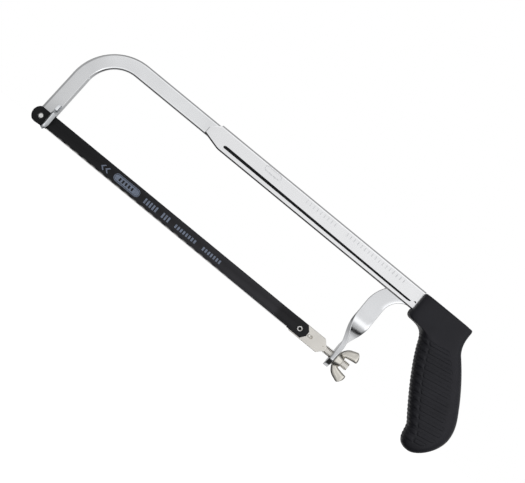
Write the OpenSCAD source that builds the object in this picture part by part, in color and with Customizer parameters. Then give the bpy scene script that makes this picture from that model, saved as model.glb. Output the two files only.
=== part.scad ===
// Adjustable hacksaw: flat front frame sliding in a folded steel tube, pistol grip,
// toothed blade hung on two pins and tightened by a wing nut.
// The saw stands upright: +X runs from the nose to the grip, +Z from the blade to the spine,
// and the blade lies on the -Y side.  Origin: middle of the lowest plane.
// Inside the modules x is counted from a blade hole and z from the line through both holes.

/* [Blade] */
// Distance between the centres of the blade's two holes
blade_span = 250; // [240:1:260]
// Height of the blade with its teeth
blade_h = 11.7; // [11:0.1:12.4]
// Thickness of the blade
blade_t = 0.65; // [0.55:0.05:0.8]
// Distance from one tooth to the next (25.4 / 24 teeth)
tooth_pitch = 1.058; // [0.8:0.001:1.8]
// Depth of a tooth
tooth_depth = 0.7; // [0.4:0.1:0.9]
// Radius of the holes at both ends
blade_hole_r = 2.15; // [2.1:0.01:2.2]

/* [Front frame] */
// Height of the sliding bar
bar_h = 12.7; // [12:0.1:12.8]
// Thickness of the sliding bar
bar_t = 5; // [4.5:0.1:5]
// Height of the bar's top above the blade line
bar_top = 79.5; // [79.3:0.1:79.5]

/* [Rear frame] */
// Height of the folded tube
tube_h = 16.8; // [16.5:0.1:17]
// Thickness of the tube's sheet
sheet_t = 1.2; // [1:0.1:1.3]
// Thickness of the twisted rear post
post_t = 4; // [3.5:0.1:4.2]
// Width of the twisted rear post
post_w = 14.4; // [13.5:0.1:14.6]

/* [Tension] */
// Radius of the threaded shank
shank_r = 3.175; // [3:0.005:3.2]
// Span across the wings of the wing nut
wing_span = 27.6; // [24:0.2:28]

/* [Grip] */
// Thickness of the grip at the heel
grip_t = 31; // [28:0.5:32]

/* [Hidden] */
$fn = 48;
run_gap = 0.05;                      // clearance of every sliding or turning fit

// Overall places, from the front hole in x and from the blade line in z
nose_r = 7;                          // the blade's front end reaches this far past its hole
heel_x = 138;                        // the grip's back, from the rear hole
heel_z = -19.3;                      // the grip's lowest point
mid_x = (blade_span + heel_x - nose_r) / 2;

// Front frame
spine_z = bar_top - bar_h;           // underside of the spine
bend_out_r = 41.2;                   // outer bend between post and spine
bend_in_r = 25.1;                    // inner bend
post_out_x = -2;                     // front edge of the post where the bend starts
post_in_x = 11.1;                    // rear edge of the post where the bend starts
foot_out_x = -4.4;                   // the same edges at the foot: the post leans forward
foot_in_x = 9.0;
foot_z = -5.3;
tail_x = 31;                         // the bar's tail, from the rear hole
stud_inset = 6;                      // the stud's axis, from the tail
stud_r = 1.5;
stud_head_r = 2;
stud_head_h = 1.2;
finger_x0 = 5.3;                     // finger that holds the blade in, front edge
finger_x1 = 9.4;                     // and rear edge
finger_root_z = 15;
finger_tip_z = -6.4;
finger_t = 3.6;
finger_gap = 2.6;                    // room between the post's face and the finger
finger_bend_z = 8.5;                 // the finger runs straight down from here
near_y = -bar_t / 2;                 // face that the blade lies against
pin_r = blade_hole_r - run_gap;

// Rear frame tube
tube_top = 80.8;
tube_w = bar_t + 0.2 + 2 * sheet_t;  // outside width
tube_corner_r = 1.7;
tube_mouth_x = 102.5;                // mouth, from the front hole
tube_tail_x = 95;                    // rear end, from the rear hole, inside the grip
slot_x0 = 120;                       // seam slot, from the front hole
slot_x1 = 51.5;                      // its rear end, from the rear hole
cut_top = 78.8;                      // the tube's end is cut down to this inside the grip
grip_front_x = 55.5;                 // front face of the grip, from the rear hole

// Rear post, from the rear hole
post_x = 32.4;                       // middle of the strap
twist_top_z = 40;
twist_end_z = 8.5;
// Outline (y, z) of the strap's foot, rounder at the near corner
post_foot = [[-7.2, -1.5], [-7, -2.6], [-6.5, -3.4], [-3.6, -6.6], [-2.4, -7.4], [-0.2, -8.3],
             [2.2, -9.1], [4.2, -9.65], [5, -9.65], [5.9, -9.3], [6.5, -8.6], [7.1, -6.5], [7.2, -3],
             [7.2, -1.5]];
post_in_r = 15;
post_out_r = 28.5;
tang_x = 92;                         // rear end of the tang
tang_z0 = 64.5;
tang_z1 = 76;
rivet_r = 1.5;
rivet_xs = [66, 84];
rivet_z = 70;

// Draw bolt and wing nut, from the rear hole
plate_x0 = -6.6;
plate_corner = 1.2;                  // its front corners are cut off by this much
plate_x1 = 20;
plate_h = 12.7;
plate_t = 2.5;
neck_x = 23.6;
neck_h = 4.8;
shank_x1 = 46;
flat_y = 2.5;                        // the shank is flat on both sides
nut_x0 = post_x + post_t / 2 + run_gap;
nut_l = 6;
wing_t = 3;

// Screw that holds the grip, from the rear hole
screw_x = 75;
screw_z = 71;
screw_r = 2;

function bez(p, t) = pow(1 - t, 3) * p[0] + 3 * t * pow(1 - t, 2) * p[1]
    + 3 * t * t * (1 - t) * p[2] + pow(t, 3) * p[3];
function chain(curves, counts) = [for (i = [0 : len(curves) - 1]) for (k = [0 : counts[i] - 1])
    bez(curves[i], k / counts[i])];
function arc(c, r, a0, a1, n = 24) = [for (k = [0 : n])
    [c[0] + r * cos(a0 + (a1 - a0) * k / n), c[1] + r * sin(a0 + (a1 - a0) * k / n)]];
function smooth(t) = t * t * (3 - 2 * t);
function power(v, n) = sign(v) * pow(abs(v), n);

// Puts a shape drawn about the front hole into the part's frame
module from_front() translate([-mid_x, 0, -heel_z]) children();
// Puts a shape drawn about the rear hole into the part's frame
module from_rear() translate([blade_span - mid_x, 0, -heel_z]) children();
// A side-view outline made t thick, with its near face at y
module plate(t, y) translate([0, y + t, 0]) rotate([90, 0, 0]) linear_extrude(t) children();
// A cross-section (Y, Z) run along X
module run(l) rotate([90, 0, 90]) linear_extrude(l) children();
// A cylinder along Y from y0 to y1
module cross(r, y0, y1) translate([0, y1, 0]) rotate([90, 0, 0]) cylinder(r = r, h = y1 - y0);

// Rings of points joined into one closed skin
module skin(rings) {
    n = len(rings);
    m = len(rings[0]);
    sides = [for (i = [0 : n - 2]) for (j = [0 : m - 1])
        each [[i * m + j, (i + 1) * m + j, i * m + (j + 1) % m],
              [i * m + (j + 1) % m, (i + 1) * m + j, (i + 1) * m + (j + 1) % m]]];
    caps = [[for (j = [0 : m - 1]) j], [for (j = [m - 1 : -1 : 0]) (n - 1) * m + j]];
    polyhedron([for (r = rings) each r], concat(sides, caps));
}

// ---- front frame ----

module frame_outline() {
    out_c = [post_out_x + bend_out_r, bar_top - bend_out_r];
    in_c = [post_in_x + bend_in_r, spine_z - bend_in_r];
    polygon(concat([[foot_in_x, foot_z], [foot_out_x + 2, foot_z], [foot_out_x, foot_z + 2]],
                   arc(out_c, bend_out_r, 180, 90),
                   [[blade_span + tail_x - 1, bar_top], [blade_span + tail_x, bar_top - 1],
                    [blade_span + tail_x, spine_z + 1], [blade_span + tail_x - 1, spine_z]],
                   arc(in_c, bend_in_r, 90, 180)));
}

// Lanced out of the post's near face and set out over the blade
module finger() {
    y0 = near_y - finger_gap;
    translate([finger_x0, 0, 0]) run(finger_x1 - finger_x0)
        polygon([[near_y + 1, finger_root_z], [near_y, finger_root_z],
                 [y0 - finger_t, finger_bend_z], [y0 - finger_t, finger_tip_z + 1],
                 [y0 - finger_t + 0.8, finger_tip_z], [y0, finger_tip_z], [y0, finger_bend_z - 1],
                 [near_y, finger_root_z - 4], [near_y + 1, finger_root_z - 4]]);
}

module front_frame() color([0.80, 0.81, 0.83]) from_front() {
    difference() {
        union() {
            plate(bar_t, near_y) frame_outline();
            finger();
        }
        cross(pin_r, near_y - 1, -near_y + 1);
        translate([blade_span + tail_x - stud_inset, 0, spine_z - 1]) cylinder(r = stud_r, h = 7);
    }
}

module front_blade_pin() color([0.86, 0.86, 0.86]) from_front()
    difference() {
        cross(pin_r, near_y, -near_y + 0.8);
        cross(pin_r / 2, near_y - 1, near_y + 1.2);
    }

// Stud in the bar's tail; its head hangs below the bar and stops it at full reach
module tail_stud() color([0.62, 0.62, 0.64]) from_front()
    translate([blade_span + tail_x - stud_inset, 0, spine_z]) {
        cylinder(r = stud_r, h = 6);
        translate([0, 0, -stud_head_h]) cylinder(r = stud_head_r, h = stud_head_h);
    }

// ---- rear frame ----

module rounded(w, h, r) union() {
    translate([-w / 2 + r, -h / 2]) square([w - 2 * r, h]);
    translate([-w / 2, -h / 2 + r]) square([w, h - 2 * r]);
    for (sx = [-1, 1]) for (sz = [-1, 1])
        translate([sx * (w / 2 - r), sz * (h / 2 - r)]) circle(r, $fn = 32);
}

// The sheet is folded round with its seam open on the near side
module rear_frame_tube() color([0.87, 0.87, 0.88]) {
    z_mid = tube_top - tube_h / 2;
    z_low = tube_top - tube_h;
    len_x = blade_span + tube_tail_x - tube_mouth_x;
    from_front() difference() {
        translate([tube_mouth_x, 0, z_mid]) run(len_x) difference() {
            rounded(tube_w, tube_h, tube_corner_r);
            square([tube_w - 2 * sheet_t, tube_h - 2 * sheet_t], center = true);
        }
        // mouth: lower corner cut away on a slope, upper corner rounded
        plate(tube_w + 2, -tube_w / 2 - 1)
            polygon([[tube_mouth_x - 1, z_low - 1], [tube_mouth_x + 16, z_low - 0.1],
                     [tube_mouth_x + 0.5, z_low + 3.5], [tube_mouth_x - 1, z_low + 3.5]]);
        plate(tube_w + 2, -tube_w / 2 - 1) difference() {
            translate([tube_mouth_x - 1, tube_top - 7]) square([8, 8]);
            translate([tube_mouth_x + 7, tube_top - 7]) circle(7, $fn = 64);
        }
        // seam slot in the near wall
        plate(sheet_t + 0.6, -tube_w / 2 - 0.5)
            polygon([[slot_x0 - 0.2, 68.6], [slot_x0 + 0.6, 67.8], [blade_span + slot_x1 - 2, 67.3],
                     [blade_span + slot_x1, 68.7], [slot_x0 + 1.9, 70.2]]);
        // the floor is open where the rear post comes down, back to the end
        translate([blade_span + 26, -post_t / 2 - 0.1, z_low - 1])
            cube([tube_tail_x, post_t + 0.2, sheet_t + 1.1]);
        // inside the grip the tube's top is cut down
        translate([blade_span + grip_front_x, -tube_w, cut_top]) cube([60, 2 * tube_w, 5]);
        for (x = rivet_xs) translate([blade_span + x, 0, rivet_z]) cross(rivet_r, -tube_w, tube_w);
        translate([blade_span + screw_x, 0, screw_z]) cross(screw_r, 0, tube_w);
    }
}

module post_rivets() color([0.60, 0.60, 0.62]) from_rear()
    for (x = rivet_xs) translate([x, 0, rivet_z]) cross(rivet_r, -tube_w / 2, tube_w / 2);

// The twisted stretch is a hair thinner than the flat ends and reaches a little into both
function post_ring(z, a) = let (w = post_w / 2 - 0.04, t = post_t / 2 - 0.02)
    [for (c = [[-1, -1], [1, -1], [1, 1], [-1, 1]])
        [post_x + c[0] * w * cos(a) - c[1] * t * sin(a), c[0] * w * sin(a) + c[1] * t * cos(a), z]];

// Strap whose tang lies in the tube; it turns down, then twists a quarter turn
module rear_post() color([0.76, 0.77, 0.79]) from_rear() {
    in_c = [post_x + post_w / 2 + post_in_r, 49.5];
    out_c = [post_x - post_w / 2 + post_out_r, 47.5];
    steps = 16;
    lap = 0.5;
    difference() {
        plate(post_t, -post_t / 2)
            polygon(concat([[post_x - post_w / 2, twist_top_z - lap]], arc(out_c, post_out_r, 180, 90),
                           [[tang_x, tang_z1], [tang_x, tang_z0]],
                           arc(in_c, post_in_r, 90, 180),
                           [[post_x + post_w / 2, twist_top_z - lap]]));
        for (x = rivet_xs) translate([x, 0, rivet_z]) cross(rivet_r, -tube_w, tube_w);
        translate([screw_x, 0, screw_z]) cross(screw_r, -0.5, tube_w);
    }
    skin([for (k = [0 : steps]) post_ring(twist_end_z + (twist_top_z - twist_end_z) * k / steps,
                                          90 * (1 - smooth(k / steps)))]);
    difference() {
        translate([post_x - post_t / 2, 0, 0]) run(post_t)
            polygon(concat(post_foot, [[post_w / 2, twist_end_z + lap],
                                       [-post_w / 2, twist_end_z + lap]]));
        // hole with two flats, so that the draw bolt can't turn
        translate([post_x - post_t, 0, 0]) intersection() {
            rotate([0, 90, 0]) cylinder(r = shank_r + run_gap, h = 2 * post_t);
            translate([-1, -flat_y - run_gap, -10]) cube([4 * post_t, 2 * flat_y + 2 * run_gap, 20]);
        }
    }
}

// ---- tension ----

module draw_bolt() color([0.74, 0.72, 0.68]) from_rear() difference() {
    union() {
        plate(plate_t, near_y)
            polygon([[plate_x0 + plate_corner, -plate_h / 2], [plate_x1, -plate_h / 2],
                     [neck_x, -neck_h / 2], [neck_x, neck_h / 2], [plate_x1, plate_h / 2],
                     [plate_x0 + plate_corner, plate_h / 2],
                     [plate_x0, plate_h / 2 - plate_corner],
                     [plate_x0, -plate_h / 2 + plate_corner]]);
        intersection() {
            translate([neck_x - 2, 0, 0]) rotate([0, 90, 0]) cylinder(r = shank_r, h = shank_x1 - neck_x + 2);
            translate([0, -flat_y, -10]) cube([60, 2 * flat_y, 20]);
        }
    }
    cross(pin_r, near_y - 1, 3);
}

// Rolled pin: a sheet ring with an open seam
module rear_blade_pin() color([0.86, 0.85, 0.82]) from_rear() difference() {
    cross(pin_r, near_y - 1.7, 0.5);
    cross(pin_r - 0.9, near_y - 3, 1);
    translate([0, near_y - 3, -0.3]) cube([4, 6, 0.6]);
}

module wing_outline() polygon([[0.4, 4], [0.4, 6], [3.4, 10.4], [7.4, wing_span / 2 - 1.1],
    [11.8, wing_span / 2], [13.9, wing_span / 2 - 2], [15, 9.4], [14.7, 6.9], [6, 5], [5.4, 3.6]]);

module wing_nut() color([0.72, 0.70, 0.65]) from_rear() translate([nut_x0, 0, 0]) difference() {
    union() {
        rotate([0, 90, 0]) cylinder(r1 = 6, r2 = 4.5, h = nut_l);
        plate(wing_t, -wing_t / 2) wing_outline();
        plate(wing_t, -wing_t / 2) mirror([0, 1]) wing_outline();
    }
    translate([-1, 0, 0]) rotate([0, 90, 0]) cylinder(r = shank_r + run_gap, h = nut_l + 2);
}

// ---- blade ----

module blade_outline() {
    top = 6.2;
    low = top - blade_h;
    root = low + tooth_depth;
    first_x = 8;
    teeth = floor((blade_span - 2 * first_x) / tooth_pitch);
    polygon(concat(arc([0, 0], nose_r, 240, 118, 20),
                   [[blade_span + 3.6, top], [blade_span + 7, 2.4], [blade_span + 7, -1.4],
                    [blade_span + 4, low], [blade_span - first_x, low]],
                   [for (k = [teeth : -1 : 1]) each [[first_x + k * tooth_pitch, low],
                                                     [first_x + (k - 0.35) * tooth_pitch, root]]]));
}

module blade() color([0.13, 0.13, 0.14]) from_front()
    plate(blade_t, near_y - run_gap - blade_t) difference() {
        blade_outline();
        circle(blade_hole_r);
        translate([blade_span, 0]) circle(blade_hole_r);
    }

// ---- grip ----

// Finger edge and back edge, from the top down to the heel
finger_edge = [[[55.5, 80.3], [55.5, 76], [55.5, 70], [55.5, 66]],
               [[55.5, 66], [54.6, 63.5], [54.2, 58.6], [58.5, 58.2]],
               [[58.5, 58.2], [69, 58.2], [72, 55.5], [75, 48]],
               [[75, 48], [81, 33], [97, 9.5], [107, -3.5]],
               [[107, -3.5], [109.5, -8], [107.5, -19.3], [118, -19.3]]];
back_edge = [[[98, 80.3], [100, 80.3], [100.5, 79.5], [100.5, 77]],
             [[100.5, 77], [100.3, 70], [101.5, 65], [105, 60.5]],
             [[105, 60.5], [113, 52], [122, 41.5], [130, 28]],
             [[130, 28], [135, 20], [138, 14], [138, 6]],
             [[138, 6], [138, -5], [127, -19.3], [118, -19.3]]];

module grip_body() {
    a_edge = chain(finger_edge, [8, 5, 9, 20, 8]);
    b_edge = chain(back_edge, [3, 8, 17, 9, 13]);
    n = len(a_edge);
    m = 28;
    heel_from = 40;
    neck_half = 13;
    half = [for (i = [0 : n - 1]) let (grow = neck_half + (grip_t / 2 - neck_half) * smooth(min(1, i / 24)),
        round_off = i > heel_from ? sqrt(1 - pow((i - heel_from) / (n - heel_from), 2)) : 1,
        top_off = i < 2 ? [1.8, 0.5][i] : 0) grow * round_off - top_off];
    squareness = [for (i = [0 : n - 1]) 0.45 + 0.25 * smooth(min(1, max(0, (i - 8) / 16)))];
    skin([for (i = [n - 1 : -1 : 0]) let (a = a_edge[i], b = b_edge[i]) [for (j = [0 : m - 1])
        let (t = 360 * j / m, f = power(cos(t), squareness[i]))
        [(a[0] + b[0]) / 2 + f * (b[0] - a[0]) / 2, half[i] * power(sin(t), squareness[i]),
         (a[1] + b[1]) / 2 + f * (b[1] - a[1]) / 2]]]);
}

module grip() color([0.17, 0.17, 0.19]) from_rear() difference() {
    grip_body();
    z_low = tube_top - tube_h;
    translate([grip_front_x - 5, -tube_w / 2, z_low])
        cube([tube_tail_x - grip_front_x + 5, tube_w, cut_top - z_low]);
    translate([screw_x, 0, screw_z]) cross(screw_r, 0, 20);
    translate([screw_x, 0, screw_z]) cross(3.8, 10.5, 20);
}

module grip_screw() color([0.60, 0.60, 0.62]) from_rear() translate([screw_x, 0, screw_z])
    difference() {
        union() {
            cross(screw_r, -0.4, 11);
            cross(3.7, 10.5, 12.3);
        }
        for (a = [0, 90]) rotate([0, a, 0]) translate([-2, 11.5, -0.4]) cube([4, 2, 0.8]);
    }

front_frame();
front_blade_pin();
tail_stud();
rear_frame_tube();
rear_post();
post_rivets();
draw_bolt();
rear_blade_pin();
wing_nut();
blade();
grip();
grip_screw();
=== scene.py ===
"""Looks of the adjustable hacksaw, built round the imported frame.

Sizes are millimetres: u runs along the blade from its front hole, v up from the line through
both holes, y across the saw.  place() turns them into metres in the row frame.
"""

import math

import bmesh
import bpy
import numpy as np
from mathutils import Matrix, Vector


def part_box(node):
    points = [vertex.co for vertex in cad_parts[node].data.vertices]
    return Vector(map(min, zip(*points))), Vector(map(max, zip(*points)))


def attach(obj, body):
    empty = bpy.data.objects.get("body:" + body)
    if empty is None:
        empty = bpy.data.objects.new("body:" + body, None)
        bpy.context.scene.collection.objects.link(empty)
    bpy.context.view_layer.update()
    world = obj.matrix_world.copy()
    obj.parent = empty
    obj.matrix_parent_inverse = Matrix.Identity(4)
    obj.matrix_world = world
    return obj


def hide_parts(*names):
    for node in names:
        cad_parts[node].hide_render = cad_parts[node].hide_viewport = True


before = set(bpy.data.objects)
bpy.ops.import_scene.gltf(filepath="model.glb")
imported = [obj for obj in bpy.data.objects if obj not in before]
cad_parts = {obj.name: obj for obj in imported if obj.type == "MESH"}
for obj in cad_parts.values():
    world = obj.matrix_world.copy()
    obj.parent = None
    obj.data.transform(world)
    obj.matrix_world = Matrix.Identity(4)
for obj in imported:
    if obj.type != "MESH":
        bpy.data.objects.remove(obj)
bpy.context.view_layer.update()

# -------- places from the frame

MM = 0.001
NOSE_R = 7.0            # the blade's front end, round its hole
PIN_R = 2.1
SHANK_R = 3.175
SET_WAVE = 8.0          # length of one wave of the teeth's set
front_hole_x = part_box("blade")[0].x + NOSE_R * MM
line_z = (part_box("wing_nut")[0].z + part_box("wing_nut")[1].z) / 2
SPAN = round((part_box("rear_blade_pin")[0].x - front_hole_x) / MM + PIN_R, 2)


def in_mm(x, y, z):
    """Row-frame metres to (u, y, v) millimetres."""
    return (x - front_hole_x) / MM, y / MM, (z - line_z) / MM


def place(u, y, v):
    """(u, y, v) millimetres to row-frame metres."""
    return Vector((front_hole_x + u * MM, y * MM, line_z + v * MM))


TUBE_U0, _, TUBE_V0 = in_mm(*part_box("rear_frame_tube")[0])
TUBE_U1, TUBE_Y1, TUBE_V1 = in_mm(*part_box("rear_frame_tube")[1])
BAR_U1, BAR_Y1, BAR_V1 = in_mm(*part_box("front_frame")[1])
NUT_U0 = in_mm(*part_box("wing_nut")[0])[0]
SHANK_U1 = in_mm(*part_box("draw_bolt")[1])[0]
BLADE_Y0 = in_mm(*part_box("blade")[0])[1]
BLADE_Y1 = in_mm(*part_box("blade")[1])[1]
BAR_H = 12.7
SHEET_T = 1.2
POST_U = SPAN + 32.4    # middle of the strap below its bend
POST_HALF_W = 7.2
POST_HALF_T = 2.0

# -------- mesh building


def link(name, data):
    """A new object in the scene."""
    obj = bpy.data.objects.new(name, data)
    bpy.context.scene.collection.objects.link(obj)
    return obj


def build(name, points, faces, weld=True):
    """A mesh from points in millimetres, with its normals made consistent."""
    mesh = bpy.data.meshes.new(name)
    mesh.from_pydata([place(*p) for p in points], [], faces)
    bm = bmesh.new()
    bm.from_mesh(mesh)
    if weld:
        bmesh.ops.remove_doubles(bm, verts=bm.verts, dist=1e-7)
    bmesh.ops.recalc_face_normals(bm, faces=bm.faces)
    bm.to_mesh(mesh)
    bm.free()
    return link(name, mesh)


def loft(name, rings):
    """Rings of equal length joined into a closed skin with flat ends."""
    m = len(rings[0])
    points = [p for ring in rings for p in ring]
    faces = [(i * m + j, i * m + (j + 1) % m, (i + 1) * m + (j + 1) % m, (i + 1) * m + j)
             for i in range(len(rings) - 1) for j in range(m)]
    faces += [tuple(range(m)), tuple(range((len(rings) - 1) * m, len(rings) * m))]
    return build(name, points, faces)


def prism(name, outline, y0, y1):
    """A side-view outline of (u, v) points made solid from y0 to y1."""
    m = len(outline)
    points = [(u, y, v) for y in (y0, y1) for u, v in outline]
    faces = [tuple(range(m)), tuple(range(m, 2 * m))]
    faces += [(j, (j + 1) % m, m + (j + 1) % m, m + j) for j in range(m)]
    return build(name, points, faces)


def wreath(name, rings):
    """Rings joined into a closed skin whose last ring meets the first."""
    m, n = len(rings[0]), len(rings)
    points = [p for ring in rings for p in ring]
    faces = [(i * m + j, i * m + (j + 1) % m, (i + 1) % n * m + (j + 1) % m, (i + 1) % n * m + j)
             for i in range(n) for j in range(m)]
    return build(name, points, faces)


def lathe(name, profile, centre, along, steps=64):
    """A closed (distance, radius) profile turned about an axis along "u" or "y"."""
    rings = []
    for k in range(steps):
        t = 2 * math.pi * k / steps
        if along == "u":
            ring = [(centre[0] + d, centre[1] + r * math.cos(t), centre[2] + r * math.sin(t))
                    for d, r in profile]
        else:
            ring = [(centre[0] + r * math.cos(t), centre[1] + d, centre[2] + r * math.sin(t))
                    for d, r in profile]
        rings.append(ring)
    return wreath(name, rings)


def bore(name, radius, start, end, centre):
    """A round cutter across the saw, from start to end in y about its centre."""
    return lathe(name, [(start, 0.01), (start, radius), (end, radius), (end, 0.01)], centre, "y", 48)


def smoothstep(x, low=0.0, high=1.0):
    t = np.clip((x - low) / (high - low), 0, 1)
    return t * t * (3 - 2 * t)


def relaxed(values, passes):
    """A column of numbers smoothed in place, with both ends kept."""
    for _ in range(passes):
        values[1:-1] = (values[:-2] + 2 * values[1:-1] + values[2:]) / 4
    return values


def arc(cu, cv, r, a0, a1, steps):
    """Points on a circle from angle a0 to a1, in degrees."""
    return [(cu + r * math.cos(math.radians(a0 + (a1 - a0) * k / steps)),
             cv + r * math.sin(math.radians(a0 + (a1 - a0) * k / steps)))
            for k in range(steps + 1)]


def corner_point(corner, s, flat):
    """A point s of the way round a quarter circle, or by flat along its chord."""
    t0, t1 = corner * math.pi / 2, (corner + 1) * math.pi / 2
    t = t0 + (t1 - t0) * s
    return tuple((1 - flat) * f(t) + flat * ((1 - s) * f(t0) + s * f(t1))
                 for f in (math.cos, math.sin))


def rounded_ring(a, b, normal, half_t, radius, steps=5, widen=1.0, crown=None, flat=0.0):
    """A rounded-rectangle section between edge points a and b, half_t thick each way.

    widen stretches the rounding along the width, flat turns it into a chamfer, and crown is
    the (width, depth) by which both faces slope in towards b.
    """
    a, b, n = Vector(a), Vector(b), Vector(normal).normalized()
    across = (b - a).normalized()
    half_w, middle = (b - a).length / 2, (a + b) / 2
    r = min(radius, half_t * 0.98, half_w * 0.98)
    r_w = min(r * widen, half_w * 0.98)
    points = []
    for corner, (sw, sn) in enumerate(((1, 1), (-1, 1), (-1, -1), (1, -1))):
        for k in range(steps + 1):
            c, d = corner_point(corner, k / steps, flat)
            points.append((sw * (half_w - r_w) + r_w * c, sn * (half_t - r) + r * d))
    if crown:
        wide, deep = min(crown[0], 2 * half_w - 1.02 * r_w), crown[1]
        points = points[:steps + 1] + [(half_w - wide, half_t)] + points[steps + 1:]
        points.insert(len(points) - steps - 1, (half_w - wide, -half_t))
        points = [(w, h * (1 - deep / half_t * max(0, 1 - (half_w - w) / wide))) for w, h in points]
    return [tuple(middle + across * w + n * h) for w, h in points]


def bake(obj):
    """Applies every modifier."""
    graph = bpy.context.evaluated_depsgraph_get()
    mesh = bpy.data.meshes.new_from_object(obj.evaluated_get(graph))
    obj.modifiers.clear()
    old = obj.data
    obj.data = mesh
    bpy.data.meshes.remove(old)
    return obj


def boolean(obj, other):
    """Cuts other out of obj and removes other."""
    mod = obj.modifiers.new("boolean", "BOOLEAN")
    mod.operation, mod.object, mod.solver = "DIFFERENCE", other, "EXACT"
    bake(obj)
    bpy.data.objects.remove(other)
    return obj


def bevel(obj, width, segments, angle):
    """Rounds the edges that are sharper than angle (degrees)."""
    mod = obj.modifiers.new("bevel", "BEVEL")
    mod.width, mod.segments = width * MM, segments
    mod.limit_method, mod.angle_limit = "ANGLE", math.radians(angle)
    return bake(obj)


def join(objects):
    """Merges meshes into the first one."""
    bm = bmesh.new()
    for obj in objects:
        bm.from_mesh(obj.data)
    bm.to_mesh(objects[0].data)
    bm.free()
    for obj in objects[1:]:
        bpy.data.objects.remove(obj)
    return objects[0]


def shade(obj, angle=40, weighted=True):
    """Smooth shading with edges sharper than angle kept; weighted keeps flat faces flat."""
    obj.data.shade_smooth()
    obj.data.set_sharp_from_angle(angle=math.radians(angle))
    if weighted:
        mod = obj.modifiers.new("flat_faces", "WEIGHTED_NORMAL")
        mod.keep_sharp, mod.weight = True, 100
    return obj


def dress(obj, body, slot, material, *nodes):
    """Gives a piece its material and its body, and hides the CAD nodes it stands for."""
    obj.data.materials.clear()
    obj.data.materials.append(material)
    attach(obj, body)
    if nodes:
        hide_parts(*nodes)


# -------- materials

ALONG = (0.04, 1, 1)     # a noise drawn out along X
UP = (1, 1, 0.04)        # a noise drawn out along Z
EVEN = (1, 1, 1)


def feed(tree, value, socket):
    """Links a node's output to a socket, or sets the socket to a plain value."""
    if isinstance(value, bpy.types.NodeSocket):
        tree.links.new(value, socket)
    else:
        socket.default_value = value


class Shader:
    """A Principled material with helpers for its nodes; object coordinates are metres."""

    def __init__(self, name, colour, metallic=0.0, roughness=0.5):
        self.material = bpy.data.materials.new(name)
        self.material.use_nodes = True
        self.tree = self.material.node_tree
        self.bsdf = next(n for n in self.tree.nodes if n.type == "BSDF_PRINCIPLED")
        self.set("Base Color", (*colour, 1))
        self.set("Metallic", metallic)
        self.set("Roughness", roughness)
        self.where = self.tree.nodes.new("ShaderNodeTexCoord").outputs["Object"]
        self.height = None

    def set(self, socket, value):
        self.bsdf.inputs[socket].default_value = value

    def node(self, kind, **inputs):
        """A node with its inputs fed by name, where _ stands for a blank."""
        n = self.tree.nodes.new(kind)
        for key, value in inputs.items():
            feed(self.tree, value, n.inputs[key.replace("_", " ")])
        return n

    def noise(self, scale, detail=3.0, stretch=EVEN):
        """Noise with about scale lumps to a metre."""
        where = self.node("ShaderNodeMapping", Vector=self.where, Scale=stretch)
        n = self.node("ShaderNodeTexNoise", Vector=where.outputs["Vector"], Scale=scale,
                      Detail=detail)
        return n.outputs["Fac"]

    def axis(self, name):
        """The object's own X, Y or Z coordinate."""
        return self.node("ShaderNodeSeparateXYZ", Vector=self.where).outputs[name]

    def span(self, value, low, high, lo_in=0.3, hi_in=0.7, smooth=False):
        """Maps lo_in..hi_in, where most of a noise lies, to low..high."""
        n = self.node("ShaderNodeMapRange", Value=value, From_Min=lo_in, From_Max=hi_in,
                      To_Min=low, To_Max=high)
        n.interpolation_type = "SMOOTHSTEP" if smooth else "LINEAR"
        return n.outputs["Result"]

    def by_height(self, *stops, smooth=False):
        """A value that runs through the (v, value) stops with the height over the blade."""
        total = stops[0][1]
        for (v0, a), (v1, b) in zip(stops, stops[1:]):
            low, high = place(0, 0, v0).z, place(0, 0, v1).z
            total = self.math("ADD", self.span(self.axis("Z"), 0, b - a, low, high, smooth), total)
        return total

    def by_length(self, start, end, smooth=False):
        """A value that runs between two (u, value) ends along the saw."""
        low, high = place(start[0], 0, 0).x, place(end[0], 0, 0).x
        return self.span(self.axis("X"), start[1], end[1], low, high, smooth)

    def math(self, operation, a, b=None):
        n = self.tree.nodes.new("ShaderNodeMath")
        n.operation = operation
        feed(self.tree, a, n.inputs[0])
        if b is not None:
            feed(self.tree, b, n.inputs[1])
        return n.outputs[0]

    def mix(self, factor, a, b):
        """From colour a to colour b as factor rises."""
        n = self.tree.nodes.new("ShaderNodeMix")
        n.data_type = "RGBA"
        feed(self.tree, factor, next(i for i in n.inputs if i.name == "Factor" and i.type == "VALUE"))
        for name, colour in (("A", a), ("B", b)):
            if not isinstance(colour, bpy.types.NodeSocket):
                colour = (*colour, 1)
            feed(self.tree, colour, next(i for i in n.inputs if i.name == name and i.type == "RGBA"))
        return next(o for o in n.outputs if o.type == "RGBA")

    def use(self, value, socket):
        self.tree.links.new(value, self.bsdf.inputs[socket])

    def bump(self, value, strength, distance):
        """Adds a bump; distance is in metres."""
        n = self.node("ShaderNodeBump", Height=value, Strength=strength, Distance=distance)
        if self.height:
            self.tree.links.new(self.height, n.inputs["Normal"])
        self.height = n.outputs["Normal"]
        self.tree.links.new(self.height, self.bsdf.inputs["Normal"])


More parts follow.
